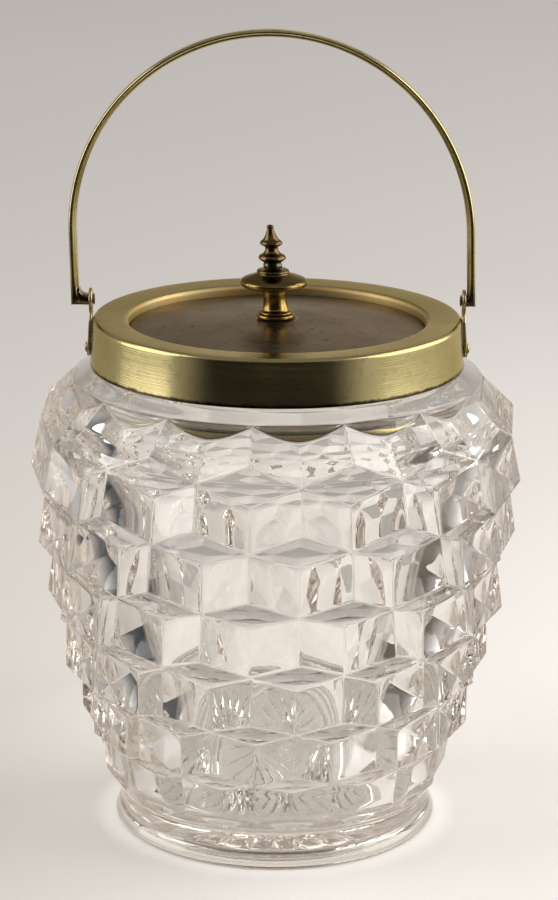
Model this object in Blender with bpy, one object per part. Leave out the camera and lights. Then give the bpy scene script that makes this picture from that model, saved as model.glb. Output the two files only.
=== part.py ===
"""A pressed-glass biscuit barrel with a spun brass collar, a drop-in lid and a swinging bail.

The jar stands on z = 0 with its axis on +Z, and the front of the barrel looks along -Y.
The bail swings about the X direction through the two ears, and the lid lifts straight up.
All lengths are in metres.
"""
import math

import bmesh
import bpy
from mathutils import Matrix, Vector

# Overall sizes
BODY_HEIGHT = 0.1546
BODY_RADIUS = 0.0705
FOOT_RADIUS = 0.0486
FOOT_HEIGHT = 0.0121

# Glass
GLASS_WALL = 0.0062
NECK_WALL = 0.0052
FLOOR_THICKNESS = 0.0085
FLOOR_CORNER = 0.0070
BASE_RECESS = 0.0022
STANDING_RING_WIDTH = 0.0075
FOOT_EDGE_ROUND = 0.0016
FOOT_WAIST = 0.0017
FOOT_FLARE_HEIGHT = 0.0045
FOOT_LEDGE = 0.0013
FOOT_LEDGE_HEIGHT = 0.0022
BAND_WIDTH = 0.0054
BAND_DROP = 0.0035
SHOULDER_RISE = 0.0036
MOUTH_ROUND = 0.0009

# Cube relief pressed into the glass: columns round the body, and tiers from the shoulder down
COLUMNS = 15
STEPS_PER_COLUMN = 4
FRONT_TURN_DEGREES = -6.2
RELIEF_LIFT = 0.0040
RELIEF_DROP = 0.0040
PROUD_LIFT_SHARES = (0.70, 0.70, 0.95, 1.03, 0.97, 0.85, 0.53)
PROUD_TIER_SHARES = (0.39, 0.32, 0.29, 0.27, 0.23, 0.26, 0.26)
DEEP_DROP_SHARES = (0.72, 0.48, 0.75, 0.75, 0.88, 1.02, 0.60)
DEEP_TIER_SHARES = (0.31, 0.32, 0.26, 0.24, 0.29, 0.31, 0.23)
ROW_HEIGHT_SHARES = (1.0, 0.882, 0.726, 0.572, 0.421, 0.270, 0.128, 0.0)
ROW_RADIUS_SHARES = (0.997, 0.987, 0.948, 0.902, 0.836, 0.763)

# Spun brass collar
SHEET = 0.0008
COLLAR_RADIUS = 0.0541
SKIRT_HEIGHT = 0.0138
SKIRT_FLARE = 0.0009
FLANGE_WIDTH = 0.0104
FLANGE_OUTER_ROUND = 0.0016
FLANGE_INNER_ROUND = 0.0012
WELL_DEPTH = 0.0044
LEDGE_WIDTH = 0.0020
MOUTH_STEP = 0.0006

# Lid
LID_SHEET = 0.0009
LID_RISE = 0.0026
LID_EDGE_ROUND = 0.0003
LID_SIDE_CLEARANCE = 0.0005
LID_RING_SHARES = (1.0, 0.85, 0.6, 0.3, 0.13)

# Knob under the finial
KNOB_BASE_RADIUS = 0.0056
KNOB_BASE_HEIGHT = 0.0019
KNOB_WAIST_RADIUS = 0.0031
KNOB_STEM_HEIGHT = 0.0068
KNOB_DISC_RADIUS = 0.0099
KNOB_DISC_HEIGHT = 0.0044
KNOB_STEP_RADIUS = 0.0046
KNOB_STEP_HEIGHT = 0.0012
KNOB_DISC_RADIUS_SHARES = (0.48, 0.84, 0.97, 1.0, 0.96, 0.82, 0.55)
KNOB_DISC_HEIGHT_SHARES = (0.02, 0.10, 0.24, 0.42, 0.58, 0.74, 0.94)
KNOB_WAIST_SHARES = (0.4, 0.6)
KNOB_BORE_RADIUS = 0.0018
KNOB_BORE_DEPTH = 0.0060
KNOB_TOP_BORE_RADIUS = 0.0013
KNOB_TOP_BORE_DEPTH = 0.0035
KNOB_LEAN_DEGREES = 3.9
KNOB_SIDE_SHIFT = 0.0005

# Finial
FINIAL_STUD_RADIUS = 0.0010
FINIAL_STUD_LENGTH = 0.0032
FINIAL_FOOT_RADIUS = 0.0027
FINIAL_FOOT_HEIGHT = 0.0021
FINIAL_LOW_BEAD_RADIUS = 0.0040
FINIAL_LOW_BEAD_HEIGHT = 0.0023
FINIAL_NECK_RADIUS = 0.0018
FINIAL_NECK_HEIGHT = 0.0021
FINIAL_HIGH_BEAD_RADIUS = 0.0033
FINIAL_HIGH_BEAD_HEIGHT = 0.0021
FINIAL_CONE_RADIUS = 0.0024
FINIAL_CONE_HEIGHT = 0.0031
FINIAL_TIP_RADIUS = 0.0010
FINIAL_TIP_NECK_SHARE = 0.85
FINIAL_TIP_ROUND_SHARE = 0.7
BEAD_HEIGHT_SHARES = (0.12, 0.32, 0.5, 0.68, 0.88)
BEAD_RADIUS_SHARES = (0.55, 0.92, 1.0, 0.92, 0.55)

# Screw and washer under the lid
SCREW_RADIUS = 0.0011
SCREW_ENGAGEMENT = 0.0052
SCREW_HEAD_RADIUS = 0.0029
SCREW_HEAD_HEIGHT = 0.0016
SCREW_SLOT_WIDTH = 0.0008
SCREW_SLOT_DEPTH = 0.0007
WASHER_RADIUS = 0.0044
WASHER_THICKNESS = 0.0008
SCREW_HOLE_CLEARANCE = 0.0004

# Ears that carry the bail
PIVOT_RISE = 0.0048
EAR_THICKNESS = 0.0010
EAR_JOGGLE = 0.0013
EAR_LOBE_RADIUS = 0.0033
EAR_NECK_WIDTH = 0.0040
EAR_TAB_WIDTH = 0.0064
EAR_TAB_LENGTH = 0.0112
EAR_NECK_DROP = 0.0040
JOGGLE_HEIGHT = 0.0018

# Rivets through the ear tabs and the skirt
RIVET_RADIUS = 0.0009
RIVET_HEAD_RADIUS = 0.0017
RIVET_HEAD_HEIGHT = 0.0008
RIVET_INNER_HEAD_RADIUS = 0.0015
RIVET_INNER_HEAD_HEIGHT = 0.0006
RIVET_TIP_MARGIN = 0.0026
RIVET_CROWN_SHARE = 0.5

# Bail handle
BAIL_LEG_THICKNESS = 0.0025
BAIL_ARCH_THICKNESS = 0.0023
BAIL_WIDTH = 0.0052
BAIL_LUG_HEIGHT = 0.0030
BAIL_LUG_LENGTH = 0.0014
BAIL_LEG_HEIGHT = 0.0201
BAIL_PIN_RADIUS = 0.0012
BAIL_HEAD_RADIUS = 0.0020
BAIL_HEAD_THICKNESS = 0.0010
BAIL_HEAD_END_SHARE = 0.6
BAIL_STRIP_SOFTNESS = 0.62
BAIL_SIDE_SHIFT = 0.0012
BAIL_LEAN = 0.0013
PIN_CLEARANCE = 0.0003

# Clearances and counts
GAP = 0.0003
CUT_OVERRUN = 0.0020
SMALL_SIDES = 20
PIN_SIDES = 12
ARCH_STEPS = 36
LOBE_STEPS = 8
TAB_TIP_STEPS = 5
SHARP_DEGREES = 32.0

# Places that follow from the sizes
RING_SIDES = COLUMNS * STEPS_PER_COLUMN
STEP_ANGLE = 2.0 * math.pi / RING_SIDES
FRONT_TURN = math.radians(FRONT_TURN_DEGREES)
SKIRT_BOTTOM = BODY_HEIGHT - SKIRT_HEIGHT
SKIRT_BOTTOM_RADIUS = COLLAR_RADIUS + SKIRT_FLARE
WELL_RADIUS = COLLAR_RADIUS - FLANGE_WIDTH
LEDGE_TOP = BODY_HEIGHT - WELL_DEPTH
LEDGE_RADIUS = WELL_RADIUS - LEDGE_WIDTH
MOUTH_RADIUS = LEDGE_RADIUS + MOUTH_STEP
NECK_RADIUS = MOUTH_RADIUS + NECK_WALL
MOUTH_TOP = LEDGE_TOP - SHEET - GAP
BAND_RADIUS = SKIRT_BOTTOM_RADIUS + BAND_WIDTH
BAND_BOTTOM = SKIRT_BOTTOM - BAND_DROP
LID_RADIUS = WELL_RADIUS - LID_SIDE_CLEARANCE
LID_BOTTOM = LEDGE_TOP + GAP
LID_CENTRE_BOTTOM = LID_BOTTOM + LID_RISE
LID_CENTRE_TOP = LID_CENTRE_BOTTOM + LID_SHEET
WASHER_TOP = LID_CENTRE_BOTTOM - GAP - LID_RISE * ((WASHER_RADIUS + KNOB_SIDE_SHIFT) / LEDGE_RADIUS) ** 2
WASHER_BOTTOM = WASHER_TOP - WASHER_THICKNESS
KNOB_BOTTOM = LID_CENTRE_TOP + GAP
KNOB_DISC_BOTTOM = KNOB_BOTTOM + KNOB_BASE_HEIGHT + KNOB_STEM_HEIGHT
KNOB_STEP_BOTTOM = KNOB_DISC_BOTTOM + KNOB_DISC_HEIGHT
KNOB_TOP = KNOB_STEP_BOTTOM + KNOB_STEP_HEIGHT
FINIAL_BOTTOM = KNOB_TOP + GAP
PIVOT_HEIGHT = BODY_HEIGHT + PIVOT_RISE
TAB_INNER_X = SKIRT_BOTTOM_RADIUS + GAP
LOBE_INNER_X = TAB_INNER_X - EAR_JOGGLE
LOBE_OUTER_X = LOBE_INNER_X + EAR_THICKNESS
TAB_OUTER_X = TAB_INNER_X + EAR_THICKNESS
JOGGLE_TOP = PIVOT_HEIGHT - EAR_NECK_DROP
JOGGLE_BOTTOM = JOGGLE_TOP - JOGGLE_HEIGHT
TAB_BOTTOM = JOGGLE_BOTTOM - EAR_TAB_LENGTH
RIVET_HEIGHT = TAB_BOTTOM + RIVET_TIP_MARGIN
LUG_START_X = LOBE_OUTER_X + GAP
LEG_CENTRE_X = LUG_START_X + BAIL_LUG_LENGTH + BAIL_LEG_THICKNESS / 2.0
ARCH_CENTRE_Z = PIVOT_HEIGHT + BAIL_LEG_HEIGHT
BAIL_RISE = BAIL_LEG_HEIGHT + LEG_CENTRE_X

LID_ORIGIN = Vector((0.0, 0.0, LID_BOTTOM))
BAIL_ORIGIN = Vector((0.0, 0.0, PIVOT_HEIGHT))


def clear_scene():
    """Remove whatever the file holds, so that only the barrel is left."""
    for old in list(bpy.data.objects):
        bpy.data.objects.remove(old, do_unlink=True)


def make_material(name, colour, roughness, metallic, transmission=0.0):
    """A Principled material with the colour and finish of one piece."""
    material = bpy.data.materials.new(name)
    material.use_nodes = True
    shader = material.node_tree.nodes["Principled BSDF"]
    shader.inputs["Base Color"].default_value = (*colour, 1.0)
    shader.inputs["Roughness"].default_value = roughness
    shader.inputs["Metallic"].default_value = metallic
    shader.inputs["Transmission Weight"].default_value = transmission
    return material


def finish_object(name, bm, material, parent=None, origin=Vector((0.0, 0.0, 0.0))):
    """Turn a bmesh given in world coordinates into a named object with its origin on its axis."""
    bmesh.ops.recalc_face_normals(bm, faces=bm.faces)
    bmesh.ops.translate(bm, verts=bm.verts, vec=-origin)
    mesh = bpy.data.meshes.new(name)
    bm.to_mesh(mesh)
    bm.free()
    mesh.shade_smooth()
    mesh.set_sharp_from_angle(angle=math.radians(SHARP_DEGREES))
    mesh.materials.append(material)
    piece = bpy.data.objects.new(name, mesh)
    bpy.context.scene.collection.objects.link(piece)
    if parent is None:
        piece.location = origin
    else:
        piece.parent = parent
    return piece


def make_axis(name, origin):
    """An empty on a joint's axis, which carries the pieces that move with it."""
    axis = bpy.data.objects.new(name, None)
    axis.location = origin
    bpy.context.scene.collection.objects.link(axis)
    return axis


def subtract(piece, cutter_name, bm):
    """Cut a shape given in world coordinates out of a piece."""
    bmesh.ops.recalc_face_normals(bm, faces=bm.faces)
    mesh = bpy.data.meshes.new(cutter_name)
    bm.to_mesh(mesh)
    bm.free()
    cutter = bpy.data.objects.new(cutter_name, mesh)
    bpy.context.scene.collection.objects.link(cutter)
    cutter.hide_render = True
    cutter.display_type = "WIRE"
    cut = piece.modifiers.new(cutter_name, "BOOLEAN")
    cut.operation = "DIFFERENCE"
    cut.object = cutter


def ring_angle(step):
    """Angle of one step round the body, counted from the front towards +X."""
    return FRONT_TURN + step * STEP_ANGLE


def on_ring(radius, height, angle):
    """Point at a radius and height, with angle zero at the front."""
    return Vector((radius * math.sin(angle), -radius * math.cos(angle), height))


def arc_points(centre, radius, start_degrees, end_degrees, steps):
    """Points of an arc in the plane of radius and height, both ends included."""
    points = []
    for i in range(steps + 1):
        angle = math.radians(start_degrees + (end_degrees - start_degrees) * i / steps)
        points.append((centre[0] + radius * math.cos(angle), centre[1] + radius * math.sin(angle)))
    return points


def add_ring(bm, radius, height, sides, turn=0.0):
    """One ring of vertices, or a single vertex on the axis where the radius is zero."""
    if radius == 0.0:
        return [bm.verts.new((0.0, 0.0, height))]
    step = 2.0 * math.pi / sides
    return [bm.verts.new(on_ring(radius, height, turn + i * step)) for i in range(sides)]


def bridge_rings(bm, first, second):
    """Faces between two rings of equal count, or between a ring and a point on the axis."""
    count = max(len(first), len(second))
    for i in range(count):
        j = (i + 1) % count
        if len(first) == 1:
            bm.faces.new((first[0], second[i], second[j]))
        elif len(second) == 1:
            bm.faces.new((first[i], first[j], second[0]))
        else:
            bm.faces.new((first[i], first[j], second[j], second[i]))


def turned_body(outline, sides, turn=0.0, closed=False):
    """A solid turned about Z from points of radius and height; a closed outline makes a ring."""
    bm = bmesh.new()
    rings = [add_ring(bm, radius, height, sides, turn) for radius, height in outline]
    for first, second in zip(rings, rings[1:]):
        bridge_rings(bm, first, second)
    if closed:
        bridge_rings(bm, rings[-1], rings[0])
    return bm


def lay_along_x(bm, side, height):
    """Turn a body from the Z axis onto the X direction, pointing outward on one side."""
    turn = Matrix.Rotation(side * math.pi / 2.0, 4, "Y")
    bm.transform(Matrix.Translation((0.0, 0.0, height)) @ turn)
    return bm


def offset_outline(points, distance):
    """Move an outline of radius and height towards its right-hand side by a distance."""
    moved = []
    for i, point in enumerate(points):
        before = points[max(i - 1, 0)]
        after = points[min(i + 1, len(points) - 1)]
        along = Vector((after[0] - before[0], after[1] - before[1])).normalized()
        moved.append((point[0] + along.y * distance, point[1] - along.x * distance))
    return moved


def row_places():
    """Radius and height of each row of star vertices, from the shoulder down to the foot."""
    heights = [FOOT_HEIGHT + (BAND_BOTTOM - FOOT_HEIGHT) * share for share in ROW_HEIGHT_SHARES]
    radii = [BAND_RADIUS]
    radii += [BODY_RADIUS * share for share in ROW_RADIUS_SHARES]
    radii.append(FOOT_RADIUS - FOOT_WAIST + FOOT_LEDGE)
    return list(zip(radii, heights))


def body_radius(height, rows):
    """Radius of the smooth body under the relief, a curve through the rows of star vertices."""
    slopes = []
    for i in range(len(rows)):
        upper = rows[max(i - 1, 0)]
        lower = rows[min(i + 1, len(rows) - 1)]
        slopes.append((upper[0] - lower[0]) / (upper[1] - lower[1]))
    for i in range(len(rows) - 1):
        upper = rows[i]
        lower = rows[i + 1]
        if height >= lower[1] or i == len(rows) - 2:
            span = upper[1] - lower[1]
            t = min(max((height - lower[1]) / span, 0.0), 1.0)
            blend = 3.0 * t * t - 2.0 * t * t * t
            rise = (t * t * t - 2.0 * t * t + t) * slopes[i + 1] * span
            fall = (t * t * t - t * t) * slopes[i] * span
            return lower[0] + (upper[0] - lower[0]) * blend + rise + fall
    return rows[-1][0]


def shoulder_outline():
    """Smooth glass from the neck out and down to the first row of the relief."""
    under_skirt = (SKIRT_BOTTOM_RADIUS, SKIRT_BOTTOM - GAP)
    neck_base = (NECK_RADIUS, under_skirt[1] + SHOULDER_RISE)
    halfway = ((under_skirt[0] + neck_base[0]) / 2.0, (2.0 * under_skirt[1] + neck_base[1]) / 3.0)
    return [neck_base, halfway, under_skirt, (BAND_RADIUS, BAND_BOTTOM)]


def inner_outline(rows):
    """Inside of the jar from the middle of its floor up to the mouth."""
    floor = BASE_RECESS + FLOOR_THICKNESS
    wall = shoulder_outline()[:-1] + rows[:-1]
    wall = [point for point in offset_outline(wall, GLASS_WALL) if point[1] > floor + FLOOR_CORNER]
    foot = wall[-1]
    corner = arc_points((foot[0] - FLOOR_CORNER, floor + FLOOR_CORNER), FLOOR_CORNER, -90.0, 0.0, 3)
    neck = [(MOUTH_RADIUS, MOUTH_TOP - MOUTH_ROUND)]
    return [(0.0, floor)] + corner + wall[::-1] + neck


def mouth_and_shoulder_outline():
    """Outside of the jar from its rounded mouth down to the first row of the relief."""
    inside = (MOUTH_RADIUS + MOUTH_ROUND, MOUTH_TOP)
    outside = (NECK_RADIUS - MOUTH_ROUND, MOUTH_TOP)
    return [inside, outside, (NECK_RADIUS, MOUTH_TOP - MOUTH_ROUND)] + shoulder_outline()[:-1]


def foot_outline():
    """Plain foot band, the rounded standing ring and the recess under the base."""
    waist = FOOT_RADIUS - FOOT_WAIST
    inner_edge = FOOT_RADIUS - STANDING_RING_WIDTH
    points = [(waist, FOOT_HEIGHT - FOOT_LEDGE_HEIGHT), (waist, FOOT_FLARE_HEIGHT)]
    edge_centre = (FOOT_RADIUS - FOOT_EDGE_ROUND, FOOT_EDGE_ROUND)
    points += arc_points(edge_centre, FOOT_EDGE_ROUND, 0.0, -90.0, 2)
    points += [(inner_edge, 0.0), (inner_edge - BASE_RECESS, BASE_RECESS), (0.0, BASE_RECESS)]
    return points


def fan(bm, corners):
    """Facet between its corners, raised to their mean point so that it bows with the body."""
    middle = bm.verts.new(sum((corner.co for corner in corners), Vector()) / len(corners))
    for i, corner in enumerate(corners):
        bm.faces.new((corner, corners[(i + 1) % len(corners)], middle))


def cube_relief(bm, rows, top_ring, foot_ring):
    """Facets of the cube pattern: proud corners low on each cube and deep corners between."""
    def star(row, column):
        step = STEPS_PER_COLUMN * column + (row % 2) * STEPS_PER_COLUMN // 2
        return step % RING_SIDES

    def row_vertices(radius, height, half):
        first = half * STEPS_PER_COLUMN // 2
        steps = [first + STEPS_PER_COLUMN * column for column in range(COLUMNS)]
        return [bm.verts.new(on_ring(radius, height, ring_angle(step))) for step in steps]

    last = len(rows) - 1
    stars = [[top_ring[star(0, column)] for column in range(COLUMNS)]]
    for row in range(1, last):
        stars.append(row_vertices(rows[row][0], rows[row][1], row % 2))
    stars.append([foot_ring[star(last, column)] for column in range(COLUMNS)])
    deep = []
    proud = [None]
    for row in range(last):
        tier = rows[row][1] - rows[row + 1][1]
        deep_height = rows[row][1] - tier * DEEP_TIER_SHARES[row]
        proud_height = rows[row + 1][1] + tier * PROUD_TIER_SHARES[row]
        deep_radius = body_radius(deep_height, rows) - RELIEF_DROP * DEEP_DROP_SHARES[row]
        proud_radius = body_radius(proud_height, rows) + RELIEF_LIFT * PROUD_LIFT_SHARES[row]
        deep.append(row_vertices(deep_radius, deep_height, row % 2 + 1))
        proud.append(row_vertices(proud_radius, proud_height, row % 2))
    for row in range(last):
        for column in range(COLUMNS):
            after = (column + 1) % COLUMNS
            beside = (column + row % 2) % COLUMNS
            left = stars[row][column]
            right = stars[row][after]
            fan(bm, (left, proud[row + 1][column], stars[row + 1][beside], deep[row][column]))
            fan(bm, (deep[row][column], stars[row + 1][beside], proud[row + 1][after], right))
            if row > 0:
                fan(bm, (left, deep[row][column], right, proud[row][beside]))
    for column in range(COLUMNS):
        first = star(0, column)
        for step in range(STEPS_PER_COLUMN):
            pair = (top_ring[(first + step) % RING_SIDES], top_ring[(first + step + 1) % RING_SIDES])
            bm.faces.new((*pair, deep[0][column]))
        first = star(last, column)
        corner = proud[last][(column + 1) % COLUMNS]
        for step in range(STEPS_PER_COLUMN):
            pair = (foot_ring[(first + step) % RING_SIDES], foot_ring[(first + step + 1) % RING_SIDES])
            bm.faces.new((pair[1], pair[0], corner))


def glass_jar():
    """One-piece pressed jar: plain neck and foot, cube relief outside and a smooth inside."""
    glass = make_material("pressed_glass", (0.90, 0.88, 0.86), 0.03, 0.0, 1.0)
    rows = row_places()
    bm = bmesh.new()
    upper = inner_outline(rows) + mouth_and_shoulder_outline() + [rows[0]]
    lower = [rows[-1]] + foot_outline()
    chains = []
    for outline in (upper, lower):
        rings = [add_ring(bm, radius, height, RING_SIDES, FRONT_TURN) for radius, height in outline]
        for first, second in zip(rings, rings[1:]):
            bridge_rings(bm, first, second)
        chains.append(rings)
    cube_relief(bm, rows, chains[0][-1], chains[1][0])
    return finish_object("glass_jar", bm, glass)


def rivet_hole(side, inner_x, outer_x, radius, height):
    """Round cutter along X on one side of the collar."""
    bm = turned_body([(0.0, inner_x), (radius, inner_x), (radius, outer_x), (0.0, outer_x)], SMALL_SIDES)
    return lay_along_x(bm, side, height)


def skirt_radius(height):
    """Outer radius of the flared skirt at a height."""
    top = BODY_HEIGHT - FLANGE_OUTER_ROUND
    share = (top - height) / (top - SKIRT_BOTTOM)
    return COLLAR_RADIUS + SKIRT_FLARE * share


def collar(brass):
    """Spun channel over the neck: flared skirt, flat flange, well wall and a ledge for the lid."""
    outer = FLANGE_OUTER_ROUND
    inner = FLANGE_INNER_ROUND
    top_corner = (COLLAR_RADIUS - outer, BODY_HEIGHT - outer)
    lip = (WELL_RADIUS + inner, BODY_HEIGHT - inner)
    points = [(SKIRT_BOTTOM_RADIUS, SKIRT_BOTTOM)]
    points += arc_points(top_corner, outer, 0.0, 90.0, 4)
    points += arc_points(lip, inner, 90.0, 180.0, 3)
    points += [(WELL_RADIUS, LEDGE_TOP), (LEDGE_RADIUS, LEDGE_TOP), (LEDGE_RADIUS, LEDGE_TOP - SHEET)]
    points += [(WELL_RADIUS + SHEET, LEDGE_TOP - SHEET)]
    points += arc_points(lip, inner - SHEET, 180.0, 90.0, 1)
    points += arc_points(top_corner, outer - SHEET, 90.0, 0.0, 2)
    points += [(SKIRT_BOTTOM_RADIUS - SHEET, SKIRT_BOTTOM)]
    piece = finish_object("collar", turned_body(points, RING_SIDES, FRONT_TURN, closed=True), brass)
    for side, word in ((-1, "left"), (1, "right")):
        start = COLLAR_RADIUS - SHEET - CUT_OVERRUN
        end = TAB_INNER_X + CUT_OVERRUN
        hole = rivet_hole(side, start, end, RIVET_RADIUS + GAP, RIVET_HEIGHT)
        subtract(piece, "collar_rivet_hole_" + word, hole)
    return piece


def collar_bedding():
    """Plaster ring that beds the collar on the neck, with a pocket behind each rivet."""
    plaster = make_material("bedding_plaster", (0.46, 0.42, 0.35), 0.9, 0.0)
    shoulder = shoulder_outline()
    skirt_inside = skirt_radius(BODY_HEIGHT - FLANGE_OUTER_ROUND) - SHEET - GAP
    flange_under = BODY_HEIGHT - SHEET - GAP
    round_top = flange_under - FLANGE_OUTER_ROUND + SHEET
    neck_side = NECK_RADIUS + GAP
    well_side = WELL_RADIUS + SHEET + GAP
    points = [(SKIRT_BOTTOM_RADIUS - SHEET - GAP, SKIRT_BOTTOM + GAP)]
    points += [(skirt_inside, round_top), (skirt_inside - (flange_under - round_top), flange_under)]
    points += [(well_side + FLANGE_INNER_ROUND, flange_under)]
    points += [(well_side, flange_under - FLANGE_INNER_ROUND)]
    points += [(well_side, MOUTH_TOP + GAP), (neck_side, MOUTH_TOP + GAP)]
    points += [(neck_side, shoulder[0][1] + GAP), (shoulder[1][0], shoulder[1][1] + GAP + GAP)]
    bm = turned_body(points, RING_SIDES, FRONT_TURN, closed=True)
    piece = finish_object("collar_bedding", bm, plaster)
    for side, word in ((-1, "left"), (1, "right")):
        start = skirt_radius(RIVET_HEIGHT) - SHEET - GAP - RIVET_INNER_HEAD_HEIGHT - GAP
        outer_x = SKIRT_BOTTOM_RADIUS + CUT_OVERRUN
        pocket = rivet_hole(side, start, outer_x, RIVET_INNER_HEAD_RADIUS + GAP, RIVET_HEIGHT)
        subtract(piece, "bedding_pocket_" + word, pocket)
    return piece


def ear_outline():
    """Half-widths of an ear at heights from its rounded top down to its rounded tip."""
    rows = []
    lobe_end = math.asin(EAR_NECK_WIDTH / 2.0 / EAR_LOBE_RADIUS)
    for i in range(1, LOBE_STEPS + 1):
        angle = (math.pi - lobe_end) * i / LOBE_STEPS
        rows.append((EAR_LOBE_RADIUS * math.sin(angle), PIVOT_HEIGHT + EAR_LOBE_RADIUS * math.cos(angle)))
    rows.append((EAR_NECK_WIDTH / 2.0, JOGGLE_TOP))
    rows.append((EAR_TAB_WIDTH / 2.0, JOGGLE_BOTTOM))
    half = EAR_TAB_WIDTH / 2.0
    for i in range(TAB_TIP_STEPS):
        angle = math.radians(90.0) * i / TAB_TIP_STEPS
        rows.append((half * math.cos(angle), TAB_BOTTOM + half - half * math.sin(angle)))
    return rows


def ear_inner_x(height):
    """How far out the ear's inner face lies: over the flange above, against the skirt below."""
    if height >= JOGGLE_TOP:
        return LOBE_INNER_X
    if height <= JOGGLE_BOTTOM:
        return TAB_INNER_X
    share = (JOGGLE_TOP - height) / (JOGGLE_TOP - JOGGLE_BOTTOM)
    return LOBE_INNER_X + EAR_JOGGLE * share


def ear(side, word, brass):
    """Flat lug with a joggle: a round eye for the bail's pin above and a riveted tab below."""
    bm = bmesh.new()
    walls = []
    for depth in (0.0, EAR_THICKNESS):
        rows = [[bm.verts.new((side * (LOBE_INNER_X + depth), 0.0, PIVOT_HEIGHT + EAR_LOBE_RADIUS))]]
        for half, height in ear_outline():
            x = side * (ear_inner_x(height) + depth)
            rows.append([bm.verts.new((x, -half, height)), bm.verts.new((x, half, height))])
        rows.append([bm.verts.new((side * (TAB_INNER_X + depth), 0.0, TAB_BOTTOM))])
        for upper, lower in zip(rows, rows[1:]):
            bm.faces.new(upper + lower[::-1])
        walls.append(rows)
    for edge in (0, -1):
        for i in range(len(walls[0]) - 1):
            near = (walls[0][i][edge], walls[0][i + 1][edge])
            far = (walls[1][i + 1][edge], walls[1][i][edge])
            bm.faces.new((*near, *far))
    piece = finish_object("ear_" + word, bm, brass)
    eye = rivet_hole(side, LOBE_INNER_X - CUT_OVERRUN, TAB_OUTER_X + CUT_OVERRUN,
                     BAIL_PIN_RADIUS + PIN_CLEARANCE, PIVOT_HEIGHT)
    subtract(piece, "ear_eye_" + word, eye)
    hole = rivet_hole(side, LOBE_INNER_X - CUT_OVERRUN, TAB_OUTER_X + CUT_OVERRUN,
                      RIVET_RADIUS + GAP, RIVET_HEIGHT)
    subtract(piece, "ear_rivet_hole_" + word, hole)
    return piece


def ear_rivet(side, word, brass):
    """Rivet with a domed head outside the ear's tab and a flat closed head behind the skirt."""
    inner_face = skirt_radius(RIVET_HEIGHT) - SHEET - GAP
    outer_face = TAB_OUTER_X + GAP
    crown = RIVET_HEAD_RADIUS * RIVET_CROWN_SHARE
    points = [(0.0, inner_face - RIVET_INNER_HEAD_HEIGHT)]
    points += [(RIVET_INNER_HEAD_RADIUS, inner_face - RIVET_INNER_HEAD_HEIGHT)]
    points += [(RIVET_INNER_HEAD_RADIUS, inner_face), (RIVET_RADIUS, inner_face)]
    points += [(RIVET_RADIUS, outer_face), (RIVET_HEAD_RADIUS, outer_face)]
    points += [(RIVET_HEAD_RADIUS, outer_face + RIVET_HEAD_HEIGHT / 4.0)]
    points += [(crown, outer_face + RIVET_HEAD_HEIGHT), (0.0, outer_face + RIVET_HEAD_HEIGHT)]
    bm = lay_along_x(turned_body(points, SMALL_SIDES), side, RIVET_HEIGHT)
    return finish_object("ear_rivet_" + word, bm, brass)


def lid_plate(brass, axis):
    """Shallow domed disc with a flat edge that rests on the collar's ledge."""
    flat = LEDGE_RADIUS - GAP
    hole = SCREW_RADIUS + SCREW_HOLE_CLEARANCE

    def dome(share):
        return LID_BOTTOM + LID_RISE * (1.0 - share * share)

    points = [(hole, dome(hole / flat))]
    points += [(flat * share, dome(share)) for share in LID_RING_SHARES[::-1]]
    points += [(LID_RADIUS, LID_BOTTOM), (LID_RADIUS, LID_BOTTOM + LID_SHEET - LID_EDGE_ROUND)]
    points += [(LID_RADIUS - LID_EDGE_ROUND, LID_BOTTOM + LID_SHEET)]
    points += [(flat * share, dome(share) + LID_SHEET) for share in LID_RING_SHARES]
    points += [(hole, dome(hole / flat) + LID_SHEET)]
    bm = turned_body(points, RING_SIDES, FRONT_TURN, closed=True)
    beside_hole = hole + GAP
    for vertex in bm.verts:
        if math.hypot(vertex.co.x, vertex.co.y) < beside_hole:
            vertex.co.x -= KNOB_SIDE_SHIFT
    return finish_object("lid_plate", bm, brass, axis, LID_ORIGIN)


def knob_part(points, sides, closed=False):
    """A turned part on the knob's own axis, which lies a little to the left of the lid's."""
    bm = turned_body(points, sides, closed=closed)
    bmesh.ops.translate(bm, verts=bm.verts, vec=(-KNOB_SIDE_SHIFT, 0.0, 0.0))
    return bm


def lean(bm):
    """Lean the knob to the left from its stem up, as the real one stands."""
    start = KNOB_BOTTOM + KNOB_BASE_HEIGHT
    slope = math.tan(math.radians(KNOB_LEAN_DEGREES))
    for vertex in bm.verts:
        vertex.co.x -= slope * max(vertex.co.z - start, 0.0)
    return bm


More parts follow.
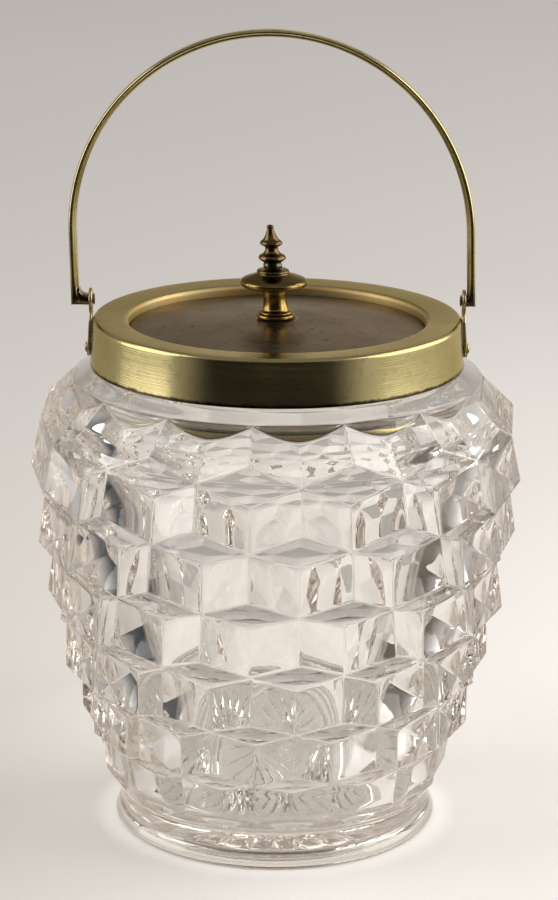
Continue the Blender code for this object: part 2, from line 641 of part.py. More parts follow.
def lid_knob(brass, axis):
    """Turned knob: round foot, waisted stem, mushroom disc and a raised step for the finial."""
    foot_round = KNOB_BASE_HEIGHT / 3.0
    stem_bottom = KNOB_BOTTOM + KNOB_BASE_HEIGHT
    neck = KNOB_WAIST_RADIUS + foot_round
    points = [(0.0, KNOB_BOTTOM + KNOB_BORE_DEPTH), (KNOB_BORE_RADIUS, KNOB_BOTTOM + KNOB_BORE_DEPTH)]
    points += [(KNOB_BORE_RADIUS, KNOB_BOTTOM), (KNOB_BASE_RADIUS - foot_round, KNOB_BOTTOM)]
    points += [(KNOB_BASE_RADIUS, KNOB_BOTTOM + foot_round), (KNOB_BASE_RADIUS, stem_bottom - foot_round)]
    points += [(KNOB_BASE_RADIUS - foot_round, stem_bottom), (neck, stem_bottom + foot_round / 2.0)]
    points += [(KNOB_WAIST_RADIUS, stem_bottom + KNOB_STEM_HEIGHT * share) for share in KNOB_WAIST_SHARES]
    points += [(neck, KNOB_DISC_BOTTOM - foot_round)]
    for radius_share, height_share in zip(KNOB_DISC_RADIUS_SHARES, KNOB_DISC_HEIGHT_SHARES):
        points.append((KNOB_DISC_RADIUS * radius_share, KNOB_DISC_BOTTOM + KNOB_DISC_HEIGHT * height_share))
    edge = KNOB_STEP_HEIGHT / 4.0
    points += [(KNOB_STEP_RADIUS, KNOB_STEP_BOTTOM), (KNOB_STEP_RADIUS, KNOB_TOP - edge)]
    points += [(KNOB_STEP_RADIUS - edge, KNOB_TOP), (KNOB_TOP_BORE_RADIUS, KNOB_TOP)]
    bore_end = KNOB_TOP - KNOB_TOP_BORE_DEPTH
    points += [(KNOB_TOP_BORE_RADIUS, bore_end), (0.0, bore_end)]
    return finish_object("lid_knob", lean(knob_part(points, SMALL_SIDES)), brass, axis, LID_ORIGIN)


def bead(radius, neck, bottom, height):
    """Rounded bead of a turned finial, from one neck radius to the next."""
    shares = zip(BEAD_HEIGHT_SHARES, BEAD_RADIUS_SHARES)
    return [(neck + (radius - neck) * out, bottom + height * up) for up, out in shares]


def knob_finial(axis):
    """Small turned finial with two beads and a ball tip, on a stud in the knob's top."""
    dark_brass = make_material("finial_brass", (0.20, 0.17, 0.10), 0.42, 1.0)
    low_bead = FINIAL_BOTTOM + FINIAL_FOOT_HEIGHT
    neck = low_bead + FINIAL_LOW_BEAD_HEIGHT
    high_bead = neck + FINIAL_NECK_HEIGHT
    cone = high_bead + FINIAL_HIGH_BEAD_HEIGHT
    tip = cone + FINIAL_CONE_HEIGHT
    ball = FINIAL_TIP_RADIUS
    rounded = ball * FINIAL_TIP_ROUND_SHARE
    stud_end = FINIAL_BOTTOM - FINIAL_STUD_LENGTH
    points = [(0.0, stud_end), (FINIAL_STUD_RADIUS, stud_end)]
    points += [(FINIAL_STUD_RADIUS, FINIAL_BOTTOM), (FINIAL_FOOT_RADIUS, FINIAL_BOTTOM)]
    points += [(FINIAL_FOOT_RADIUS, low_bead)]
    points += bead(FINIAL_LOW_BEAD_RADIUS, FINIAL_NECK_RADIUS, low_bead, FINIAL_LOW_BEAD_HEIGHT)
    points += [(FINIAL_NECK_RADIUS, neck + FINIAL_NECK_HEIGHT / 2.0)]
    points += bead(FINIAL_HIGH_BEAD_RADIUS, FINIAL_NECK_RADIUS, high_bead, FINIAL_HIGH_BEAD_HEIGHT)
    points += [(FINIAL_CONE_RADIUS, cone), (ball * FINIAL_TIP_NECK_SHARE, tip - ball / 2.0)]
    points += [(ball, tip), (rounded, tip + rounded), (0.0, tip + ball)]
    bm = lean(knob_part(points, SMALL_SIDES))
    return finish_object("knob_finial", bm, dark_brass, axis, LID_ORIGIN)


def knob_washer(steel, axis):
    """Flat washer between the lid and the screw's head."""
    hole = SCREW_RADIUS + SCREW_HOLE_CLEARANCE
    points = [(hole, WASHER_BOTTOM), (WASHER_RADIUS, WASHER_BOTTOM)]
    points += [(WASHER_RADIUS, WASHER_TOP), (hole, WASHER_TOP)]
    bm = knob_part(points, SMALL_SIDES, closed=True)
    return finish_object("knob_washer", bm, steel, axis, LID_ORIGIN)


def knob_screw(steel, axis):
    """Slotted screw that comes up through the washer and the lid into the knob."""
    under_head = WASHER_BOTTOM - GAP
    bottom = under_head - SCREW_HEAD_HEIGHT
    top = KNOB_BOTTOM + SCREW_ENGAGEMENT
    edge = SCREW_HEAD_HEIGHT / 3.0
    points = [(0.0, bottom), (SCREW_HEAD_RADIUS - edge, bottom), (SCREW_HEAD_RADIUS, bottom + edge)]
    points += [(SCREW_HEAD_RADIUS, under_head), (SCREW_RADIUS, under_head), (SCREW_RADIUS, top), (0.0, top)]
    piece = finish_object("knob_screw", knob_part(points, SMALL_SIDES), steel, axis, LID_ORIGIN)
    subtract(piece, "screw_slot", slot_body(bottom - CUT_OVERRUN, bottom + SCREW_SLOT_DEPTH))
    return piece


def slot_body(low, high):
    """Straight bar through the screw's head between two heights."""
    half = SCREW_SLOT_WIDTH / 2.0
    reach = SCREW_HEAD_RADIUS + CUT_OVERRUN
    corners = ((-reach, -half), (reach, -half), (reach, half), (-reach, half))
    bm = bmesh.new()
    rings = [[bm.verts.new((x, y, height)) for x, y in corners] for height in (low, high)]
    bridge_rings(bm, rings[0], rings[1])
    for ring in rings:
        bm.faces.new(ring)
    return bm


def bail_section(index, softness):
    """One point of a unit section; softness 1 is round, and less is a strip with soft edges."""
    angle = 2.0 * math.pi * index / PIN_SIDES
    out = math.copysign(abs(math.cos(angle)) ** softness, math.cos(angle))
    across = math.copysign(abs(math.sin(angle)) ** softness, math.sin(angle))
    return out, across


def bail_handle(brass, axis):
    """Swinging handle: strip bent to an arch, turned in at both ends to peened pivot pins."""
    bm = bmesh.new()
    half_width = BAIL_WIDTH / 2.0
    half_leg = BAIL_LEG_THICKNESS / 2.0
    half_lug = BAIL_LUG_HEIGHT / 2.0
    strip = BAIL_STRIP_SOFTNESS
    rings = []

    def lean_shift(z):
        share = (z - PIVOT_HEIGHT) / BAIL_RISE
        return -BAIL_SIDE_SHIFT - BAIL_LEAN * math.sin(math.pi * share / 2.0)

    def add(x, z, out_x, out_z, across, softness, shift=0.0):
        ring = []
        for index in range(PIN_SIDES):
            out, side = bail_section(index, softness)
            ring.append(bm.verts.new((x + shift + out * out_x, side * across, z + out * out_z)))
        rings.append(ring)

    def end_rings(side):
        head_face = LOBE_INNER_X - GAP
        head_end = BAIL_HEAD_RADIUS * BAIL_HEAD_END_SHARE
        places = [(head_face - BAIL_HEAD_THICKNESS, head_end, head_end, 1.0)]
        places += [(head_face - BAIL_HEAD_THICKNESS / 2.0, BAIL_HEAD_RADIUS, BAIL_HEAD_RADIUS, 1.0)]
        places += [(head_face, BAIL_HEAD_RADIUS, BAIL_HEAD_RADIUS, 1.0)]
        places += [(head_face, BAIL_PIN_RADIUS, BAIL_PIN_RADIUS, 1.0)]
        places += [(LUG_START_X, BAIL_PIN_RADIUS, BAIL_PIN_RADIUS, 1.0)]
        places += [(LUG_START_X, half_lug, half_width, strip)]
        return [(side * x, PIVOT_HEIGHT, 0.0, -tall, wide, soft) for x, tall, wide, soft in places]

    for place in end_rings(-1):
        add(*place)
    corner_shift = lean_shift(PIVOT_HEIGHT)
    add(-LEG_CENTRE_X, PIVOT_HEIGHT, -half_leg, -half_lug, half_width, strip, corner_shift)
    for i in range(ARCH_STEPS + 1):
        angle = math.pi * (1.0 - i / ARCH_STEPS)
        thin = (BAIL_ARCH_THICKNESS - BAIL_LEG_THICKNESS) / 2.0 * min(1.0, 2.0 * math.sin(angle))
        half = half_leg + thin
        out_x = math.cos(angle)
        out_z = math.sin(angle)
        centre_z = ARCH_CENTRE_Z + LEG_CENTRE_X * out_z
        shift = lean_shift(centre_z)
        add(LEG_CENTRE_X * out_x, centre_z, half * out_x, half * out_z, half_width, strip, shift)
    add(LEG_CENTRE_X, PIVOT_HEIGHT, half_leg, -half_lug, half_width, strip, corner_shift)
    for place in end_rings(1)[::-1]:
        add(*place)
    for first, second in zip(rings, rings[1:]):
        bridge_rings(bm, first, second)
    bm.faces.new(rings[0])
    bm.faces.new(rings[-1])
    return finish_object("bail_handle", bm, brass, axis, BAIL_ORIGIN)


def build():
    """Model the whole barrel."""
    clear_scene()
    collar_brass = make_material("collar_brass", (0.42, 0.37, 0.20), 0.32, 1.0)
    handle_brass = make_material("handle_brass", (0.45, 0.38, 0.19), 0.28, 1.0)
    lid_brass = make_material("lid_brass", (0.16, 0.12, 0.08), 0.30, 1.0)
    knob_brass = make_material("knob_brass", (0.36, 0.27, 0.10), 0.24, 1.0)
    steel = make_material("screw_steel", (0.45, 0.43, 0.40), 0.40, 1.0)
    glass_jar()
    collar(collar_brass)
    collar_bedding()
    for side, word in ((-1, "left"), (1, "right")):
        ear(side, word, handle_brass)
        ear_rivet(side, word, handle_brass)
    lid_axis = make_axis("lid_lift_axis", LID_ORIGIN)
    lid_plate(lid_brass, lid_axis)
    lid_knob(knob_brass, lid_axis)
    knob_finial(lid_axis)
    knob_washer(steel, lid_axis)
    knob_screw(steel, lid_axis)
    bail_axis = make_axis("bail_swing_axis", BAIL_ORIGIN)
    bail_handle(handle_brass, bail_axis)


build()
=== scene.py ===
import math

import bmesh
import bpy
from mathutils import Matrix, Vector


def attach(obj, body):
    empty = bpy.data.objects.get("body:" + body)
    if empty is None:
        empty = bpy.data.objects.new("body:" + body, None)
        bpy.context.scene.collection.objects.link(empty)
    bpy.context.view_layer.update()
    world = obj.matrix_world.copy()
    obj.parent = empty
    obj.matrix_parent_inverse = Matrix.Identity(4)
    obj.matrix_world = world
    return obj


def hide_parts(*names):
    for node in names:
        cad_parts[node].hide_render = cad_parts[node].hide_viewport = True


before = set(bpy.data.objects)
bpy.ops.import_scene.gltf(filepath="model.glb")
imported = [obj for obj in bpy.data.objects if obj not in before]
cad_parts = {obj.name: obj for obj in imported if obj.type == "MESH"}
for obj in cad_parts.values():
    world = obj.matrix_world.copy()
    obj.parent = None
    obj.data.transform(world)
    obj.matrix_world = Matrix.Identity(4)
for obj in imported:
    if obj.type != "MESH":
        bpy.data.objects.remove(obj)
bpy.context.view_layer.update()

# Lengths and heights are in millimetres unless a line says metres. Outlines are pairs of radius and height.
MM = 0.001

# Cube pattern. Eight rows of star vertices run round the jar, from its plain band down to its foot. Between
# two rows lies a tier, with a proud vertex under each star of its upper row and a deep vertex halfway
# between two stars. They lie outside and inside the smooth body by the lifts and drops. Of the tier's
# height, the proud shares count up from its lower row and the deep shares down from its upper row.
# A facet's grid lines lie close together along its edges.
COLUMNS = 15
COLUMN_ANGLE = 2.0 * math.pi / COLUMNS
FRONT_TURN = math.radians(-6.2)
ROWS = ((60.4, 137.3), (70.29, 122.53), (69.58, 103.0), (66.83, 83.71),
        (63.59, 64.81), (58.94, 45.9), (53.79, 28.13), (48.2, 12.1))
LAST_ROW = len(ROWS) - 1
PROUD_LIFTS = (2.8, 2.8, 3.8, 4.12, 3.88, 3.4, 2.12)
PROUD_SHARES = (0.39, 0.32, 0.29, 0.27, 0.23, 0.26, 0.26)
DEEP_DROPS = (2.88, 3.0, 3.0, 3.0, 3.52, 4.08, 2.4)
DEEP_SHARES = (0.31, 0.335, 0.26, 0.24, 0.29, 0.31, 0.23)
FIRST_TIER_DROP = (ROWS[0][1] - ROWS[1][1]) * DEEP_SHARES[0]
EDGE_SPACING = (0.0, 0.022, 0.055, 0.11, 0.21, 0.35, 0.5, 0.65, 0.79, 0.89, 0.945, 0.978, 1.0)
LENS_STEPS = 6
FACET_BULGE = 0.06
RELIEF_DEPTH = 4.6
SMOOTH_PASSES = 3

# Inside of the jar, and the rays of the star pressed under its base, given by their radii and depth
WALL = 6.0
WALL_START = 20.5
WALL_END = 126.5
WALL_STEP = 1.5
FLOOR_TOP = 10.7
FLOOR_CORNER = 8.0
BASE_CEILING = 2.2
RAY_START = 3.0
RAY_DEEPEST = 12.0
RAY_WIDEST = 14.0
RAY_END = 37.0
RAY_DEPTH = 1.9

# Collar and ears
COLLAR_TOP = 154.6
SKIRT_BOTTOM = 140.8
SHEET = 0.8
LEDGE_TOP = 150.2
PIVOT = 159.4
RIVET_HEIGHT = 145.0
EYE_RADIUS = 3.3
EYE_BORE = 1.5
RIVET_BORE = 1.2
NECK_HALF_WIDTH = 2.0
TAB_HALF_WIDTH = 3.2
TAB_TIP = 142.4
EAR_THICKNESS = 1.05
EAR_ROUNDING = 0.4
NECK_TOP = 156.2
NECK_FOOT = 152.6
EYE_X = 54.1
TAB_X = 54.2
SKIRT_FLARE = 0.069

# Lid and knob
DOME_EDGE = 150.5
DOME_RISE = 2.6
DOME_RADIUS = 41.4
LID_SHEET = 0.9
KNOB_X = -0.5
KNOB_FOOT = 156.2
KNOB_LEAN = math.tan(math.radians(3.9))

# Bail: the strip's middle line rises in two legs and goes over in a half circle. The pin's outline is
# pairs of X and radius.
BAIL_X = -1.2
BAIL_LEAN = 1.3
LEG_X = 57.95
LEG_RISE = 20.1
LEG_STEPS = 9
ARCH_STEPS = 128
STRIP_POINTS = 48
STRIP_HALF = 1.25
STRIP_HALF_WIDTH = 2.6
STRIP_SOFTNESS = 0.75
PIN_OUTLINE = ((53.4, 0.7), (53.43, 1.1), (53.5, 1.45), (53.65, 1.7), (53.85, 1.7), (53.85, 1.2),
               (55.25, 1.2))

# Lamps: name, place, width, height, radiance and colour. Lamps and camera are placed in metres and turned
# in radians; the lens and its sensor are in millimetres.
LAMPS = (("key_left", (-1.15, -0.055, 0.575), 1.03, 1.3, 2.65, (1.0, 0.985, 0.96)),
         ("key_right", (1.15, 0.12, 0.64), 1.6, 1.3, 3.0, (1.0, 0.985, 0.965)))
LAMP_TARGET = (0.0, 0.0, 0.12)
CAMERA_PLACE = (0.000717, -0.83233, 0.34667)
CAMERA_PITCH = -0.2729
CAMERA_ROLL = 0.0056
CAMERA_LENS = 116.34
CAMERA_SENSOR = 36.0

# With fewer bounces, parts of the pattern turn black
BOUNCES = 256


# Shapes

def on_ring(radius, height, angle):
    """Point in metres, at an angle counted from the front towards the right."""
    return Vector((radius * math.sin(angle), -radius * math.cos(angle), height)) * MM


def full_turn(steps):
    return [2.0 * math.pi * i / steps for i in range(steps)]


def circle(centre_height, radius, steps):
    return [(radius * math.cos(a), centre_height + radius * math.sin(a)) for a in full_turn(steps)]


def arc(centre, radius, start, end, steps):
    """Points from a start angle to an end angle, both in degrees."""
    points = []
    for i in range(steps + 1):
        a = math.radians(start + (end - start) * i / steps)
        points.append((centre[0] + radius * math.cos(a), centre[1] + radius * math.sin(a)))
    return points


def curve_through(points, steps):
    """Catmull-Rom curve through the points."""
    padded = [points[0]] + list(points) + [points[-1]]
    out = []
    for i in range(len(points) - 1):
        p0, p1, p2, p3 = (Vector(p) for p in padded[i:i + 4])
        for k in range(steps):
            t = k / steps
            out.append(tuple(0.5 * (2 * p1 + (p2 - p0) * t + (2 * p0 - 5 * p1 + 4 * p2 - p3) * t * t
                                    + (3 * p1 - p0 - 3 * p2 + p3) * t ** 3)))
    out.append(tuple(points[-1]))
    return out


def clamp(value):
    return min(max(value, 0.0), 1.0)


def ease(t):
    """Share that starts and ends gently."""
    return 3.0 * t * t - 2.0 * t ** 3


def finish_piece(name, bm, material, body=None, nodes=(), sharp=40.0):
    """Object from a mesh, with its edges sharp above an angle. With a body it replaces CAD nodes."""
    bmesh.ops.recalc_face_normals(bm, faces=bm.faces)
    mesh = bpy.data.meshes.new(name)
    bm.to_mesh(mesh)
    bm.free()
    mesh.shade_smooth()
    mesh.set_sharp_from_angle(angle=math.radians(sharp))
    mesh.materials.append(material)
    piece = bpy.data.objects.new(name, mesh)
    bpy.context.scene.collection.objects.link(piece)
    if body:
        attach(piece, body)
        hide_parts(*nodes)
    return piece


def ring_of(bm, radius, height, angles):
    """Vertices round a ring, or a single one on the axis."""
    if radius < 1e-6:
        return [bm.verts.new((0.0, 0.0, height * MM))]
    return [bm.verts.new(on_ring(radius, height, a)) for a in angles]


def bridge(bm, first, second):
    """Faces between two rings, one of which may be a single vertex."""
    count = max(len(first), len(second))
    for i in range(count):
        j = (i + 1) % count
        if len(first) == 1:
            bm.faces.new((first[0], second[i], second[j]))
        elif len(second) == 1:
            bm.faces.new((first[i], first[j], second[0]))
        else:
            bm.faces.new((first[i], first[j], second[j], second[i]))


def bridge_all(bm, rings):
    for first, second in zip(rings, rings[1:]):
        bridge(bm, first, second)


def lathe(outline, sides, closed=False):
    """Outline turned round the jar's axis; a closed one joins its end to its start."""
    bm = bmesh.new()
    rings = [ring_of(bm, radius, height, full_turn(sides)) for radius, height in outline]
    bridge_all(bm, rings)
    if closed:
        bridge(bm, rings[-1], rings[0])
    return bm


# Node materials

def new_material(name):
    material = bpy.data.materials.new(name)
    material.use_nodes = True
    return material, material.node_tree, material.node_tree.nodes["Principled BSDF"]


def feed(tree, socket, value):
    """Links a socket to another one, or gives it a plain value."""
    if hasattr(value, "links"):
        tree.links.new(value, socket)
    else:
        socket.default_value = value


def feed_all(tree, target, values):
    for key, value in values.items():
        feed(tree, target.inputs[key], value)


def node(tree, kind, values=None, **settings):
    made = tree.nodes.new(kind)
    for key, value in settings.items():
        setattr(made, key, value)
    feed_all(tree, made, values or {})
    return made


def maths(tree, operation, a, b, limited=False):
    return node(tree, "ShaderNodeMath", {0: a, 1: b}, operation=operation, use_clamp=limited).outputs[0]


def total(tree, first, *others):
    for value in others:
        first = maths(tree, "ADD", first, value)
    return first


def times(tree, a, b):
    return maths(tree, "MULTIPLY", a, b)


def share(tree, a, b):
    """Product of two shares between 0 and 1."""
    return maths(tree, "MULTIPLY", a, b, True)


def spread(tree, value, low, high, to_low=0.0, to_high=1.0):
    return node(tree, "ShaderNodeMapRange", {"Value": value, "From Min": low, "From Max": high,
                                             "To Min": to_low, "To Max": to_high}).outputs["Result"]


def blend(tree, amount, first, second):
    """Mix of two colours, each a socket or red, green and blue."""
    made = node(tree, "ShaderNodeMix", {0: amount}, data_type="RGBA")
    for index, colour in ((6, first), (7, second)):
        feed(tree, made.inputs[index], (*colour, 1.0) if isinstance(colour, tuple) else colour)
    return made.outputs[2]


def noise(tree, vector, scale, detail=3.0, roughness=0.55):
    return node(tree, "ShaderNodeTexNoise", {"Vector": vector, "Scale": scale, "Detail": detail,
                                             "Roughness": roughness}).outputs["Fac"]


def bump(tree, shader, height, distance, strength=1.0):
    made = node(tree, "ShaderNodeBump", {"Height": height, "Strength": strength, "Distance": distance * MM})
    tree.links.new(made.outputs["Normal"], shader.inputs["Normal"])


def position(tree):
    """Position on the piece, in metres."""
    return node(tree, "ShaderNodeTexCoord").outputs["Object"]


def split(tree, vector):
    return list(node(tree, "ShaderNodeSeparateXYZ", {0: vector}).outputs)


def axis_distance(tree, x, y):
    return maths(tree, "POWER", total(tree, times(tree, x, x), times(tree, y, y)), 0.5)


def turning(tree, spot, fine, along, roughness=0.55):
    """Noise that is fine across the turning marks and long along them."""
    x, y, z, radius = spot
    parts = {0: times(tree, radius, fine), 1: times(tree, z, fine), 2: times(tree, total(tree, x, y), along)}
    return noise(tree, node(tree, "ShaderNodeCombineXYZ", parts).outputs[0], 1.0, 4.0, roughness)


def lid_wear(tree, colour, dark, bare, vector, radius, small, strength):
    """Dark specks, pale scratches that run one way, and a scuffed ring round the knob's foot."""
    dots = node(tree, "ShaderNodeTexVoronoi", {"Vector": vector, "Scale": 170.0}).outputs["Distance"]
    colour = blend(tree, share(tree, spread(tree, dots, 0.15, 0.07), strength), colour, dark)
    drawn = node(tree, "ShaderNodeMapping", {"Vector": vector, "Rotation": (0.0, 0.0, 0.5),
                                             "Scale": (70.0, 1300.0, 70.0)}).outputs[0]
    scratches = spread(tree, noise(tree, drawn, 1.0, 2.0, 0.4), 0.66, 0.76)
    colour = blend(tree, share(tree, scratches, 0.4 * strength), colour, bare)
    ring = share(tree, spread(tree, radius, 5.6 * MM, 5.9 * MM), spread(tree, radius, 6.6 * MM, 6.1 * MM))
    return blend(tree, share(tree, ring, spread(tree, small, 0.42, 0.56, 0.0, 0.8)), colour, bare)


def collar_wear(tree, colour, rough, spot, small, edge):
    """Ragged brown line between two heights at the skirt's edge, and tarnish in the duller well."""
    height, radius = spot[2:]
    ragged = total(tree, height, times(tree, small, 1.6 * MM))
    colour = blend(tree, spread(tree, ragged, edge[0] * MM, edge[1] * MM), colour, (0.045, 0.032, 0.018))
    well = spread(tree, radius, 44.6 * MM, 44.0 * MM)
    bloom = times(tree, spread(tree, turning(tree, spot, 900.0, 70.0), 0.40, 0.60), 0.8)
    colour = blend(tree, times(tree, well, bloom), colour, (0.47, 0.29, 0.11))
    return colour, total(tree, rough, times(tree, well, 0.3))


def brass(name, bright, worn, dark, roughness, brushed, tarnish, glance=(0.76, 0.68, 0.50), metallic=1.0,
          specks=0.0, edge=None, height_tone=None):
    """Turned or brushed brass, bright to worn in patches, with dark tarnish.

    brushed is the share of turning marks in the relief, and glance the tint of its reflection at a slant.
    specks is the strength of the lid's wear, and edge holds the heights of the skirt's brown line. The last
    argument holds a height where the colour is plain, one where it has fully turned, a strength and the
    colour it turns to.
    """
    material, tree, shader = new_material(name)
    vector = position(tree)
    x, y, z = split(tree, vector)
    radius = axis_distance(tree, x, y)
    spot = [x, y, z, radius]
    fine = turning(tree, spot, 3200.0, 26.0, 0.6)
    broad = noise(tree, vector, 55.0, 5.0, 0.6)
    small = noise(tree, vector, 420.0, 4.0, 0.6)
    rough = total(tree, spread(tree, broad, 0.3, 0.7, roughness - 0.05, roughness + 0.07),
                  spread(tree, fine, 0.3, 0.7, -0.04, 0.04))
    colour = blend(tree, spread(tree, broad, 0.35, 0.68), bright, worn)
    colour = blend(tree, share(tree, spread(tree, small, 0.56, 0.74), tarnish), colour, dark)
    if specks:
        bare = tuple(min(1.0, 1.9 * v) for v in bright)
        colour = lid_wear(tree, colour, dark, bare, vector, radius, small, specks)
    if edge:
        colour, rough = collar_wear(tree, colour, rough, spot, small, edge)
    if height_tone:
        plain_height, toned_height, strength, tone = height_tone
        colour = blend(tree, share(tree, spread(tree, z, plain_height * MM, toned_height * MM), strength), colour, tone)
    feed_all(tree, shader, {"Base Color": colour, "Roughness": rough, "Metallic": metallic,
                            "Specular Tint": (*glance, 1.0)})
    bump(tree, shader, total(tree, times(tree, fine, brushed), times(tree, small, 1.0 - brushed)), 0.03)
    return material


def glass_material():
    """Clear brownish glass, faintly uneven, whose tint deepens where the surface turns away."""
    material, tree, shader = new_material("pressed_glass")
    vector = position(tree)
    turned = node(tree, "ShaderNodeLayerWeight", {"Blend": 0.5}).outputs["Facing"]
    tint = blend(tree, spread(tree, turned, 0.40, 0.85), (0.99, 0.98, 0.967), (0.60, 0.54, 0.48))
    smear = noise(tree, vector, 70.0)
    feed_all(tree, shader, {"Base Color": tint, "IOR": 1.52, "Transmission Weight": 1.0,
                            "Roughness": spread(tree, smear, 0.45, 0.8, 0.0, 0.035)})
    swell = noise(tree, vector, 38.0, 1.0)
    seeds = noise(tree, vector, 500.0, 2.0)
    bump(tree, shader, total(tree, swell, times(tree, seeds, 0.02)), 0.9, 0.2)
    depth = node(tree, "ShaderNodeVolumeAbsorption", {"Color": (0.45, 0.275, 0.1, 1.0), "Density": 4.6})
    tree.links.new(depth.outputs["Volume"], tree.nodes["Material Output"].inputs["Volume"])
    return material


def grainy_material(name, grain, mottle, first, second, rough, relief, metallic):
    """Grainy surface in two colours; grain and mottle are the scale and detail of their noise."""
    material, tree, shader = new_material(name)
    vector = position(tree)
    surface = noise(tree, vector, *grain)
    feed_all(tree, shader, {"Base Color": blend(tree, noise(tree, vector, *mottle), first, second),
                            "Roughness": spread(tree, surface, 0.3, 0.7, *rough), "Metallic": metallic})
    bump(tree, shader, surface, relief)
    return material


# Glass jar

def row_slope(row):
    """Change of the smooth body's radius with height, at a row of stars."""
    upper, lower = ROWS[max(row - 1, 0)], ROWS[min(row + 1, LAST_ROW)]
    return (upper[0] - lower[0]) / (upper[1] - lower[1])


def body_radius(height):
    """Radius of the smooth body under the relief, a curve through the rows of stars."""
    row = 0
    while row < LAST_ROW - 1 and height < ROWS[row + 1][1]:
        row += 1
    upper, lower = ROWS[row], ROWS[row + 1]
    span = upper[1] - lower[1]
    t = clamp((height - lower[1]) / span)
    rise = (t ** 3 - 2.0 * t * t + t) * row_slope(row + 1) * span
    fall = (t ** 3 - t * t) * row_slope(row) * span
    return lower[0] + (upper[0] - lower[0]) * ease(t) + rise + fall


def star_angle(row, column):
    """Each row is turned half a column against the row above it."""
    return FRONT_TURN + (column + (row % 2) / 2.0) * COLUMN_ANGLE


def star_vertex(row, column):
    return on_ring(*ROWS[row], star_angle(row, column))


def proud_vertex(row, column):
    height = ROWS[row + 1][1] + (ROWS[row][1] - ROWS[row + 1][1]) * PROUD_SHARES[row]
    return on_ring(body_radius(height) + PROUD_LIFTS[row], height, star_angle(row, column))


def deep_vertex(row, column):
    height = ROWS[row][1] - (ROWS[row][1] - ROWS[row + 1][1]) * DEEP_SHARES[row]
    return on_ring(body_radius(height) - DEEP_DROPS[row], height, star_angle(row, column + 0.5))


def droop(point, t, amount):
    """Bends the first tier's upper edge down and out; t runs from a star to the deep vertex."""
    drop = FIRST_TIER_DROP * (math.sin(math.pi / 2.0 * t) - t)
    flat = Vector((point.x, point.y, 0.0)).normalized()
    return point + (Vector((0.0, 0.0, -drop * MM)) + flat * (0.5 * drop * MM)) * amount


def facet(bm, corners, curved=None):
    """Grid over four corners that follow each other round the facet, swollen a little in its middle."""
    a, b, c, d = corners
    out = (c - a).cross(d - b).normalized()
    middle = (a + b + c + d) / 4.0
    if out.dot(Vector((middle.x, middle.y, 0.0))) < 0.0:
        out = -out
    grid = []
    for s in EDGE_SPACING:
        line = []
        for t in EDGE_SPACING:
            point = a * (1 - s) * (1 - t) + b * s * (1 - t) + c * s * t + d * (1 - s) * t
            raised = FACET_BULGE * MM * 16.0 * s * (1 - s) * t * (1 - t)
            if curved:
                point = droop(point, t if curved == "left" else 1.0 - t, (1.0 - s) ** 1.5)
            line.append(bm.verts.new(point + out * raised))
        grid.append(line)
    for first, second in zip(grid, grid[1:]):
        for i in range(len(first) - 1):
            bm.faces.new((first[i], first[i + 1], second[i + 1], second[i]))


def half_spacing():
    """Spacing along the ring from one star to the next, fine at the stars and halfway."""
    return [s / 2.0 for s in EDGE_SPACING] + [0.5 + s / 2.0 for s in EDGE_SPACING[1:]]


def ring_angles():
    angles = []
    for column in range(COLUMNS):
        angles += [FRONT_TURN + (column + s) * COLUMN_ANGLE for s in half_spacing()[:-1]]
    return angles


def lens(bm, row, column, tip):
    """Half facet between the plain ring of a row and the two edges that meet at a vertex."""
    start, end = star_vertex(row, column), star_vertex(row, column + 1)
    columns = []
    for s in half_spacing():
        on_arc = on_ring(*ROWS[row], star_angle(row, column + s))
        on_edge = start.lerp(tip, 2.0 * s) if s <= 0.5 else tip.lerp(end, 2.0 * s - 1.0)
        if row == 0:
            on_edge = droop(on_edge, 1.0 - abs(2.0 * s - 1.0), 1.0)
        steps = range(LENS_STEPS + 1) if 0.0 < s < 1.0 else range(1)
        columns.append([bm.verts.new(on_arc.lerp(on_edge, k / LENS_STEPS)) for k in steps])
    for first, second in zip(columns, columns[1:]):
        for k in range(LENS_STEPS):
            quad = (first[min(k, len(first) - 1)], first[min(k + 1, len(first) - 1)],
                    second[min(k + 1, len(second) - 1)], second[min(k, len(second) - 1)])
            bm.faces.new(list(dict.fromkeys(quad)))


def pattern(bm):
    """Every facet of the seven tiers, and the half facets against the band and the foot."""
    for row in range(LAST_ROW):
        for column in range(COLUMNS):
            left, right = star_vertex(row, column), star_vertex(row, column + 1)
            under = star_vertex(row + 1, column + row % 2)
            deep = deep_vertex(row, column)
            proud, after = proud_vertex(row, column), proud_vertex(row, column + 1)
            facet(bm, (left, proud, under, deep), "left" if row == 0 else None)
            facet(bm, (deep, under, after, right), "right" if row == 0 else None)
            if row:
                facet(bm, (left, deep, right, proud_vertex(row - 1, column + row % 2)))
    for column in range(COLUMNS):
        lens(bm, 0, column, deep_vertex(0, column))
        lens(bm, LAST_ROW, column, proud_vertex(LAST_ROW - 1, column + 1))


